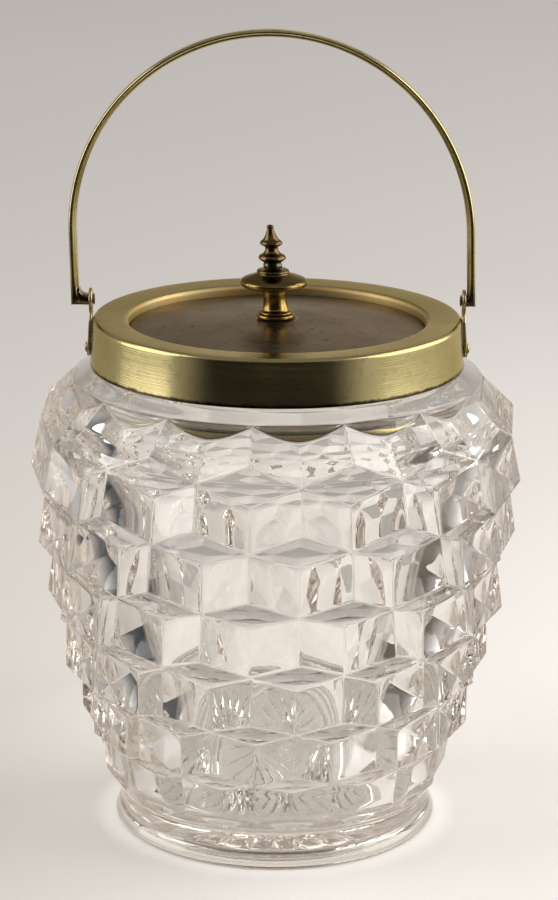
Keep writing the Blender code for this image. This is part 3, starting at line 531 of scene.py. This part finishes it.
def upper_outline():
    """From the middle of the floor up the inside, over the mouth and down to the pattern."""
    points = [(radius, FLOOR_TOP) for radius in (0.0, 8.0, 16.0, 24.0)] + [(31.0, FLOOR_TOP + 0.1)]
    corner = (body_radius(20.0) - WALL - FLOOR_CORNER, FLOOR_TOP + FLOOR_CORNER)
    points += arc(corner, FLOOR_CORNER, -80.0, -6.0, 8)
    height = WALL_START
    while height < WALL_END:
        slope = (body_radius(height + 1.0) - body_radius(height - 1.0)) / 2.0
        slant = math.hypot(1.0, slope)
        points.append((body_radius(height) - WALL / slant, height + WALL * slope / slant))
        height += WALL_STEP
    points += curve_through([points[-1], (63.0, 128.5), (57.5, 134.0), (48.5, 138.6), (43.6, 142.0),
                             (42.5, 145.5)], 16)[1:]
    points += arc((43.2, 148.2), 0.9, 180.0, 90.0, 4) + arc((46.6, 148.2), 0.9, 90.0, 0.0, 4)
    points += curve_through([(47.5, 145.2), (47.9, 143.2), (50.8, 141.5), (55.0, 140.35)], 4)
    points += [(56.2, 139.75), (57.6, 139.0), (58.9, 138.2), (59.7, 137.7), (60.15, 137.45)]
    return points + [ROWS[0]]


def lower_outline():
    """From the pattern down the foot and under the base to its middle."""
    points = [ROWS[LAST_ROW], (47.85, 11.7), (47.3, 11.0), (46.95, 10.2), (46.8, 9.0), (46.85, 7.4)]
    points += [(47.1, 5.8), (47.6, 4.2), (48.1, 2.9)]
    points += arc((47.1, 1.5), 1.5, 20.0, -90.0, 6) + [(44.0, 0.0), (41.9, 0.0)]
    points += arc((41.9, 0.7), 0.7, -90.0, -135.0, 2)[1:] + [(39.4, 2.1)]
    radii = (37.5, 35.5, 33.0, 30.0, 27.0, 24.0, 21.0, 18.0, 15.0, 12.0, 9.0, 6.0, 4.0, 2.5, 0.0)
    return points + [(radius, BASE_CEILING) for radius in radii]


def ray_groove(radius, angle):
    """Depth of the pressed star at a place under the base, with two pointed rays to each column."""
    across = abs((angle - FRONT_TURN) / COLUMN_ANGLE * 2.0 % 1.0 - 0.5) * 2.0
    width = min(1.0, (RAY_END - radius) / (RAY_END - RAY_WIDEST))
    return RAY_DEPTH * min(1.0, radius / RAY_DEEPEST) * width * max(0.0, 1.0 - across / width)


def glass_jar():
    """Pattern, inside, mouth and foot joined to one mesh, with the relief's edges softened."""
    bm = bmesh.new()
    pattern(bm)
    angles = ring_angles()
    for outline in (upper_outline(), lower_outline()):
        rings = []
        for radius, height in outline:
            if height == BASE_CEILING and RAY_START < radius < RAY_END:
                points = [on_ring(radius, height + ray_groove(radius, a), a) for a in angles]
                rings.append([bm.verts.new(point) for point in points])
            else:
                rings.append(ring_of(bm, radius, height, angles))
        bridge_all(bm, rings)
    bmesh.ops.remove_doubles(bm, verts=bm.verts, dist=0.002 * MM)
    low, high = (ROWS[LAST_ROW][1] - 0.2) * MM, (ROWS[0][1] + 0.2) * MM
    relief = [v for v in bm.verts if low < v.co.z < high
              and math.hypot(v.co.x, v.co.y) > (body_radius(v.co.z / MM) - RELIEF_DEPTH) * MM]
    for _ in range(SMOOTH_PASSES):
        bmesh.ops.smooth_vert(bm, verts=relief, factor=0.5, use_axis_x=True, use_axis_y=True, use_axis_z=True)
    return finish_piece("jar_glass", bm, glass_material(), "jar", ["glass_jar"], 75.0)


# Metal mount

def collar(material):
    """Spun channel: up the skirt, over the flange, down the well to the ledge, and back underneath."""
    shoulder = (52.85, COLLAR_TOP - 1.25)
    lip = (45.2, COLLAR_TOP - 1.75)
    points = [(54.85, SKIRT_BOTTOM), (55.0, SKIRT_BOTTOM + 0.15), (54.95, SKIRT_BOTTOM + 0.6)]
    points += [(54.7, 144.0), (54.4, 148.0), (54.15, 152.0)]
    points += arc(shoulder, 1.25, 0.0, 90.0, 10) + [(50.5, COLLAR_TOP - 0.05), (47.5, COLLAR_TOP - 0.17)]
    points += arc(lip, 1.5, 90.0, 180.0, 10) + [(43.7, 151.4), (43.7, LEDGE_TOP)]
    points += [(41.7, LEDGE_TOP), (41.7, LEDGE_TOP - SHEET), (44.5, LEDGE_TOP - SHEET), (44.5, 152.9)]
    points += arc(lip, 0.7, 180.0, 90.0, 5) + [(50.0, COLLAR_TOP - SHEET)]
    points += arc(shoulder, 0.45, 90.0, 0.0, 5) + [(53.55, 150.5), (54.2, SKIRT_BOTTOM)]
    bm = lathe(points, 240, closed=True)
    return finish_piece("collar_shell", bm, material, "jar", ["collar"], 35.0)


def plate_outline():
    """Half widths of an ear from its rounded top to its rounded tip, with their heights."""
    rows = []
    end = math.asin(NECK_HALF_WIDTH / EYE_RADIUS)
    for i in range(1, 25):
        a = (math.pi - end) * i / 24.0
        rows.append((EYE_RADIUS * math.sin(a), PIVOT + EYE_RADIUS * math.cos(a)))
    rows += curve_through([(NECK_HALF_WIDTH, 156.6), (NECK_HALF_WIDTH, 155.6), (2.6, 154.5),
                           (TAB_HALF_WIDTH, 153.4)], 4)
    rows += [(TAB_HALF_WIDTH, 149.0), (TAB_HALF_WIDTH, 146.0)]
    for i in range(12):
        a = math.radians(90.0) * i / 12.0
        rows.append((TAB_HALF_WIDTH * math.cos(a), TAB_TIP + TAB_HALF_WIDTH - TAB_HALF_WIDTH * math.sin(a)))
    return rows


def inset(points, amount):
    """The outline, run clockwise as seen with Y to the right, moved inwards."""
    moved = []
    for i, (y, z) in enumerate(points):
        (y0, z0), (y1, z1) = points[i - 1], points[(i + 1) % len(points)]
        length = math.hypot(y1 - y0, z1 - z0)
        moved.append((y + amount * (z1 - z0) / length, z - amount * (y1 - y0) / length))
    return moved


def ear(side, word, material):
    """Flat plate with two bores and rounded edges, cut into strips at its neck and bent there."""
    bm = bmesh.new()
    rows = plate_outline()
    loop = [(0.0, PIVOT + EYE_RADIUS)] + rows + [(0.0, TAB_TIP)] + [(-w, z) for w, z in rows[::-1]]

    def ring(points, out):
        return [bm.verts.new((side * out * MM, y * MM, z * MM)) for y, z in points]

    def edges_of(verts):
        return [bm.edges.get((verts[i - 1], verts[i])) for i in range(len(verts))]

    turns = [math.radians(22.5 * i) for i in range(5)]
    rim = [(EAR_ROUNDING - EAR_ROUNDING * math.sin(a), EAR_ROUNDING - EAR_ROUNDING * math.cos(a))
           for a in turns]
    rings = [ring(inset(loop, amount), out) for amount, out in rim]
    rings += [ring(inset(loop, amount), EAR_THICKNESS - out) for amount, out in rim[::-1]]
    bores = [(ring(points, 0.0), ring(points, EAR_THICKNESS))
             for points in (circle(PIVOT, EYE_BORE, 32), circle(RIVET_HEIGHT, RIVET_BORE, 24))]
    bridge_all(bm, rings)
    for inner, outer in bores:
        bridge(bm, inner, outer)
    for face, outline in ((0, rings[0]), (1, rings[-1])):
        edges = edges_of(outline) + [edge for bore in bores for edge in edges_of(bore[face])]
        bmesh.ops.triangle_fill(bm, edges=edges, use_beauty=True)
    for i in range(9):
        bmesh.ops.bisect_plane(bm, geom=bm.verts[:] + bm.edges[:] + bm.faces[:],
                               plane_co=(0.0, 0.0, (156.0 - 0.4 * i) * MM), plane_no=(0.0, 0.0, 1.0))
    bmesh.ops.dissolve_degenerate(bm, dist=0.004 * MM, edges=bm.edges[:])
    for vertex in bm.verts:
        height = vertex.co.z / MM
        tab = TAB_X + SKIRT_FLARE * max(NECK_FOOT - height, 0.0)
        bend = ease(clamp((NECK_TOP - height) / (NECK_TOP - NECK_FOOT)))
        vertex.co.x += side * (EYE_X + (tab - EYE_X) * bend) * MM
    return finish_piece("ear_plate_" + word, bm, material, "jar", ["ear_" + word], 35.0)


def rivet(side, word, material):
    """Turned upright along its own axis, then laid along X with its domed head outwards."""
    points = [(0.0, 53.0), (1.4, 53.0), (1.5, 53.1), (1.5, 53.5), (0.9, 53.6), (0.9, 56.0), (1.5, 56.0)]
    for degrees in range(0, 90, 11):
        a = math.radians(degrees)
        points.append((1.6 * math.cos(a), 56.05 + 0.55 * math.sin(a)))
    bm = lathe(points + [(0.0, 56.6)], 40)
    bm.transform(Matrix.Translation((0.0, 0.0, RIVET_HEIGHT * MM))
                 @ Matrix.Rotation(side * math.pi / 2.0, 4, "Y"))
    return finish_piece("rivet_" + word, bm, material, "jar", ["ear_rivet_" + word])


# Lid

def to_knob_axis(bm, lean=0.0):
    """Moves a mesh over to the knob's axis and leans it from the knob's foot upwards."""
    for vertex in bm.verts:
        vertex.co.x += KNOB_X * MM
        vertex.co.x -= lean * max(vertex.co.z - KNOB_FOOT * MM, 0.0)
    return bm


def lid_plate(material):
    def dome(radius):
        return DOME_EDGE + DOME_RISE * (1.0 - (radius / DOME_RADIUS) ** 2)
    radii = [1.5, 3.0, 6.0, 10.0, 15.0, 20.0, 25.0, 30.0, 35.0, 39.0, DOME_RADIUS]
    points = [(r, dome(r)) for r in radii] + [(43.0, DOME_EDGE)]
    points += arc((42.9, 151.1), 0.3, -30.0, 90.0, 4)
    points += [(r, dome(r) + LID_SHEET) for r in radii[::-1]]
    bm = lathe(points, 200, closed=True)
    for vertex in bm.verts:
        if math.hypot(vertex.co.x, vertex.co.y) < 1.8 * MM:
            vertex.co.x += KNOB_X * MM
    return finish_piece("lid_disc", bm, material, "lid", ["lid_plate"], 35.0)


def lid_knob(material):
    """Foot bored for the screw, waisted stem, mushroom disc and a neck bored for the finial's stud."""
    points = [(0.0, 160.3), (1.8, 160.3), (1.8, 154.3), (5.1, 154.3)]
    points += arc((5.05, 154.85), 0.55, -70.0, 85.0, 9) + [(4.75, 155.5)]
    points += arc((4.65, 155.85), 0.35, -60.0, 70.0, 5)
    points += curve_through([(4.5, 156.3), (3.95, 156.75), (3.6, 157.6), (3.42, 158.8), (3.35, 160.2),
                             (3.45, 161.6), (3.9, 162.7)], 5)
    points += curve_through([(4.6, 162.95), (6.6, 163.1), (8.6, 163.45), (9.6, 164.1), (9.9, 164.85),
                             (9.6, 165.5), (8.6, 166.1), (6.6, 166.8), (5.4, 167.2)], 5)
    points += [(4.95, 167.35), (4.75, 167.5)] + arc((4.2, 168.0), 0.55, -30.0, 90.0, 6)
    points += [(1.35, 168.6), (1.35, 165.1), (0.0, 165.1)]
    bm = to_knob_axis(lathe(points, 96), KNOB_LEAN)
    return finish_piece("knob_turning", bm, material, "lid", ["lid_knob"], 50.0)


def knob_finial(material):
    """Stud, neck, two beads and a drawn-out tip."""
    points = [(0.0, 165.7), (1.0, 165.7), (1.0, 168.9), (2.55, 168.9), (2.75, 169.1)]
    points += curve_through([(2.75, 170.0), (2.62, 170.6), (2.75, 171.0)], 4)
    points += curve_through([(3.3, 171.2), (3.95, 171.75), (4.0, 172.2), (3.6, 172.8), (2.75, 173.25),
                             (2.1, 174.0), (1.85, 174.9), (2.1, 175.45)], 5)
    points += curve_through([(2.6, 175.65), (3.2, 176.05), (3.3, 176.45), (3.0, 176.95), (2.35, 177.5),
                             (1.75, 178.5), (1.3, 179.6), (1.0, 180.5)], 5)
    points += curve_through([(0.92, 180.75), (1.05, 181.1), (0.95, 181.45), (0.55, 181.7), (0.0, 181.8)], 4)
    bm = to_knob_axis(lathe(points, 64), KNOB_LEAN)
    return finish_piece("finial_turning", bm, material, "lid", ["knob_finial"], 50.0)


def washer(material):
    points = [(1.5, 152.0), (4.2, 152.0), (4.4, 152.15), (4.4, 152.6), (4.2, 152.75), (1.5, 152.75)]
    bm = to_knob_axis(lathe(points, 64, closed=True))
    return finish_piece("washer_disc", bm, material, "lid", ["knob_washer"])


def screw(material):
    """Turned screw with its slot cut out by a boolean, then moved over to the knob's axis."""
    points = [(0.0, 150.06), (2.0, 150.06)] + arc((2.3, 150.7), 0.6, -80.0, 0.0, 5)
    points += [(2.9, 151.66), (1.1, 151.66), (1.1, 159.4), (0.0, 159.5)]
    slot = bmesh.new()
    bmesh.ops.create_cube(slot, size=1.0)
    slot.transform(Matrix.Translation((0.0, 0.0, 150.1 * MM))
                   @ Matrix.Diagonal((7.0 * MM, 0.8 * MM, 1.3 * MM, 1.0)))
    cutter_mesh = bpy.data.meshes.new("slot_cut")
    slot.to_mesh(cutter_mesh)
    slot.free()
    bm = lathe(points, 48)
    piece = finish_piece("screw_turning", bm, material, "lid", ["knob_screw"])
    cutter = bpy.data.objects.new("slot_cut", cutter_mesh)
    bpy.context.scene.collection.objects.link(cutter)
    cut = piece.modifiers.new("slot", "BOOLEAN")
    cut.operation = "DIFFERENCE"
    cut.object = cutter
    bpy.context.view_layer.update()
    graph = bpy.context.evaluated_depsgraph_get()
    result = bpy.data.meshes.new_from_object(piece.evaluated_get(graph))
    piece.modifiers.clear()
    piece.data = result
    result.transform(Matrix.Translation((KNOB_X * MM, 0.0, 0.0)))
    bpy.data.objects.remove(cutter)
    return piece


# Bail

def strip_section(angle, softness, oval):
    """Distance out from the strip's middle and across its width, as shares; oval swells the inner side."""
    power = softness if math.cos(angle) > 0.0 else softness + 0.25 * oval
    out = math.copysign(abs(math.cos(angle)) ** power, math.cos(angle))
    across = math.copysign(abs(math.sin(angle)) ** power, math.sin(angle))
    return out + 0.35 * oval * (1.0 - abs(out)), across


def bail_shift(height):
    """Sideways place of the strip: left at the pins and further left towards its top."""
    t = clamp((height - PIVOT) / (LEG_RISE + LEG_X))
    return BAIL_X - BAIL_LEAN * math.sin(math.pi / 2.0 * t)


def bail_side(side):
    """Sections from a pin's tip along the pin, round the elbow and up the leg.

    Each is the X and height of its middle, its reach out in X and in Z, half width, softness and oval.
    """
    sections = [(side * x, PIVOT, 0.0, -radius, radius, 1.0, 0.0) for x, radius in PIN_OUTLINE]
    sections.append((side * PIN_OUTLINE[-1][0], PIVOT, 0.0, -1.35, 2.3, 0.6, 0.0))
    start = PIN_OUTLINE[-1][0] + 0.1
    elbow = side * LEG_X + bail_shift(PIVOT)
    reach = abs(elbow) - STRIP_HALF - start
    for t in (0.0, 0.3, 0.55, 0.75, 0.9, 0.98):
        rise = max(reach, 0.6) * (1.0 - math.sqrt(1.0 - t * t))
        x = side * (start + reach * t)
        sections.append((x, PIVOT + rise / 2.0, 0.0, -(1.5 + rise / 2.0), 2.5, 0.5, 0.0))
    sections.append((elbow, PIVOT, side * STRIP_HALF, -1.5, STRIP_HALF_WIDTH, 0.55, 0.0))
    for i in range(1, LEG_STEPS):
        height = PIVOT + LEG_RISE * i / LEG_STEPS
        sections.append((side * LEG_X + bail_shift(height), height, side * STRIP_HALF, 0.0,
                         STRIP_HALF_WIDTH, STRIP_SOFTNESS, min(1.0, i / 3.0)))
    return sections


def bail(material):
    """Strip lofted from the left pin over the arch to the right pin."""
    arch = []
    for i in range(ARCH_STEPS + 1):
        a = math.pi * (1.0 - i / ARCH_STEPS)
        half = STRIP_HALF - 0.1 * min(1.0, 2.0 * math.sin(a))
        height = PIVOT + LEG_RISE + LEG_X * math.sin(a)
        arch.append((LEG_X * math.cos(a) + bail_shift(height), height, half * math.cos(a), half * math.sin(a),
                     STRIP_HALF_WIDTH, STRIP_SOFTNESS, 1.0))
    bm = bmesh.new()
    rings = []
    for x, z, out_x, out_z, half_width, softness, oval in bail_side(-1) + arch + bail_side(1)[::-1]:
        ring = []
        for angle in full_turn(STRIP_POINTS):
            out, across = strip_section(angle, softness, oval)
            point = ((x + out * out_x) * MM, across * half_width * MM, (z + out * out_z) * MM)
            ring.append(bm.verts.new(point))
        rings.append(ring)
    bridge_all(bm, rings)
    bm.faces.new(rings[0])
    bm.faces.new(rings[-1])
    return finish_piece("bail_strip", bm, material, "bail", ["bail_handle"], 35.0)


# Stage, in metres

def stage():
    """Pale floor with painted light: darker at left and towards the back, paler at right, and paler round and
    under the foot; it glows a little for the rays that show it.
    """
    material, tree, shader = new_material("pale_floor")
    x, y = split(tree, position(tree))[:2]
    radius = axis_distance(tree, x, y)
    # Painted light falloff: the floor's colour and glow are darker at left and towards the back, paler at
    # right
    across = spread(tree, x, -0.16, 0.12)
    near_painted_falloff = blend(tree, across, (0.61, 0.58, 0.545), (0.93, 0.895, 0.855))
    far_painted_falloff = blend(tree, spread(tree, x, -0.3, 0.3), (0.55, 0.525, 0.51), (0.60, 0.57, 0.55))
    colour = blend(tree, spread(tree, y, 0.0, 0.75), near_painted_falloff, far_painted_falloff)
    # Painted light: the floor is paler round the jar, standing in for light that the glass gathers there
    colour = blend(tree, spread(tree, radius, 0.13, 0.055), colour, (0.92, 0.89, 0.85))
    path = node(tree, "ShaderNodeLightPath")
    shows = maths(tree, "ADD", path.outputs["Is Camera Ray"], path.outputs["Is Glossy Ray"])
    shows = maths(tree, "ADD", shows, path.outputs["Is Transmission Ray"], True)
    glow = blend(tree, across, (0.10, 0.094, 0.088), (0.17, 0.163, 0.158))
    glow = blend(tree, spread(tree, y, 0.0, 0.35), glow, (0.105, 0.098, 0.092))
    glow = blend(tree, spread(tree, y, 0.2, 1.6), glow, (0.215, 0.205, 0.198))
    # Painted pool of light: a pale ring round the foot and a bright disc under it glow for the rays that show
    # the floor
    painted_caustic_ring = share(tree, spread(tree, radius, 0.0480, 0.0495), spread(tree, radius, 0.0560, 0.0505))
    under = maths(tree, "MAXIMUM", times(tree, painted_caustic_ring, 0.8), spread(tree, radius, 0.046, 0.040), True)
    glow = blend(tree, under, glow, (0.33, 0.315, 0.29))
    feed_all(tree, shader, {"Base Color": colour, "Emission Color": glow, "Emission Strength": shows,
                            "Roughness": 0.55, "Specular IOR Level": 0.25})
    bm = bmesh.new()
    corners = ((-0.112, -0.45), (0.122, -0.45), (0.122, 0.0), (0.50, 3.5), (-0.50, 3.5), (-0.112, 0.0))
    bm.faces.new([bm.verts.new((right, back, 0.0)) for right, back in corners])
    floor = finish_piece("floor", bm, material)


def lamp(name, place, width, height, radiance, colour):
    data = bpy.data.lights.new(name, "AREA")
    data.shape = "RECTANGLE"
    data.size = width
    data.size_y = height
    data.energy = radiance * math.pi * width * height
    data.color = colour
    made = bpy.data.objects.new(name, data)
    made.location = place
    made.rotation_euler = (Vector(LAMP_TARGET) - Vector(place)).to_track_quat("-Z", "Y").to_euler()
    bpy.context.scene.collection.objects.link(made)


def studio():
    """World that changes with direction and with the kind of ray."""
    world = bpy.data.worlds.new("studio")
    world.use_nodes = True
    tree = world.node_tree
    side, depth, up = split(tree, node(tree, "ShaderNodeTexCoord").outputs["Generated"])
    # What the metal and the floor meet: horizon, above it, top and ground, and a dark opening in front
    horizon = blend(tree, spread(tree, side, -0.35, 0.45), (0.60, 0.575, 0.55), (0.88, 0.845, 0.81))
    above = blend(tree, spread(tree, side, -0.12, 0.12), (0.34, 0.325, 0.31), (0.66, 0.63, 0.60))
    level = blend(tree, spread(tree, up, 0.15, 0.265), horizon, above)
    level = blend(tree, spread(tree, up, 0.35, 0.8), level, (0.34, 0.33, 0.32))
    level = blend(tree, spread(tree, up, -0.20, -0.38), level, (0.15, 0.147, 0.142))
    leftward = times(tree, maths(tree, "MINIMUM", side, 0.0), 0.27)
    front = spread(tree, total(tree, depth, leftward, times(tree, side, -0.08)), -0.60, -0.86)
    opening = times(tree, front, spread(tree, up, 0.75, 0.45))
    level = blend(tree, opening, level, (0.03, 0.028, 0.025))
    # What the glass lets through: dark sides and a dimmer back
    sides = blend(tree, spread(tree, side, -0.5, 0.5), (0.05, 0.054, 0.06), (0.13, 0.112, 0.09))
    behind = blend(tree, spread(tree, up, 0.0, 0.3), (0.52, 0.495, 0.47), (0.40, 0.38, 0.36))
    through = blend(tree, spread(tree, depth, 0.30, 0.62), sides, behind)
    through = blend(tree, opening, through, (0.22, 0.205, 0.19))
    # What the camera sees behind the object
    seen = blend(tree, spread(tree, up, 0.05, -0.05), (0.60, 0.57, 0.545), (0.86, 0.825, 0.79))
    path = node(tree, "ShaderNodeLightPath")
    level = blend(tree, path.outputs["Is Transmission Ray"], level, through)
    level = blend(tree, path.outputs["Is Camera Ray"], level, seen)
    feed_all(tree, tree.nodes["Background"], {"Color": level, "Strength": 1.0})
    bpy.context.scene.world = world


def camera():
    """Camera where the photograph was taken from, worked out from its perspective."""
    data = bpy.data.cameras.new("photo_camera")
    data.sensor_fit = "VERTICAL"
    data.sensor_height = CAMERA_SENSOR
    data.lens = CAMERA_LENS
    view = bpy.data.objects.new("photo_camera", data)
    pitch = Matrix.Rotation(math.radians(90.0) + CAMERA_PITCH, 4, "X")
    roll = Matrix.Rotation(CAMERA_ROLL, 4, "Z")
    view.matrix_world = Matrix.Translation(CAMERA_PLACE) @ pitch @ roll
    bpy.context.scene.collection.objects.link(view)
    bpy.context.scene.camera = view


def mount_and_lid():
    """Every metal piece, each with its own brass or steel."""
    collar(brass("collar_brass", (0.47, 0.40, 0.20), (0.38, 0.32, 0.15), (0.12, 0.10, 0.045),
                 roughness=0.18, brushed=0.8, tarnish=0.25, edge=(142.8, 142.25)))
    ear_brass = brass("ear_brass", (0.52, 0.42, 0.22), (0.34, 0.26, 0.12), (0.05, 0.035, 0.02),
                      roughness=0.18, brushed=0.3, tarnish=0.6, metallic=0.8)
    for side, word in ((-1, "left"), (1, "right")):
        ear(side, word, ear_brass)
        rivet(side, word, ear_brass)
    lid_plate(brass("lid_brass", (0.31, 0.26, 0.205), (0.24, 0.195, 0.155), (0.08, 0.06, 0.04),
                    roughness=0.29, brushed=0.5, tarnish=0.55, glance=(0.60, 0.54, 0.45), specks=0.8))
    # The knob's disc turns darker towards its top
    lid_knob(brass("knob_brass", (0.36, 0.245, 0.08), (0.21, 0.14, 0.045), (0.05, 0.033, 0.016),
                   roughness=0.15, brushed=0.5, tarnish=0.8,
                   height_tone=(164.5, 166.0, 0.85, (0.085, 0.065, 0.038))))
    knob_finial(brass("finial_brass", (0.15, 0.105, 0.05), (0.085, 0.06, 0.03), (0.02, 0.015, 0.01),
                      roughness=0.12, brushed=0.4, tarnish=0.6,
                      height_tone=(171.2, 170.2, 0.9, (0.085, 0.095, 0.065))))
    steel = grainy_material("screw_steel", (700.0, 4.0), (700.0, 4.0), (0.50, 0.48, 0.45), (0.30, 0.27, 0.23),
                            rough=(0.3, 0.5), relief=0.05, metallic=1.0)
    washer(steel)
    screw(steel)
    # The handle turns darker down its legs towards the pins
    bail(brass("handle_brass", (0.50, 0.43, 0.22), (0.36, 0.30, 0.14), (0.08, 0.06, 0.03),
               roughness=0.18, brushed=0.3, tarnish=0.6, glance=(0.95, 0.91, 0.80),
               height_tone=(166.5, 161.5, 0.85, (0.06, 0.04, 0.025))))


def main():
    scene = bpy.context.scene
    scene.view_settings.view_transform = "Standard"
    scene.cycles.max_bounces = BOUNCES
    scene.cycles.transmission_bounces = BOUNCES
    scene.cycles.glossy_bounces = BOUNCES
    camera()
    glass_jar()
    mount_and_lid()
    # The plaster ring stays the CAD's own piece and only gets a material
    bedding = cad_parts["collar_bedding"]
    bedding.data.materials.clear()
    bedding.data.materials.append(
        grainy_material("bedding_plaster", (900.0, 5.0), (60.0, 4.0), (0.78, 0.66, 0.50), (0.62, 0.49, 0.33),
                        rough=(0.8, 0.95), relief=0.2, metallic=0.0))
    stage()
    studio()
    for values in LAMPS:
        lamp(*values)


main()
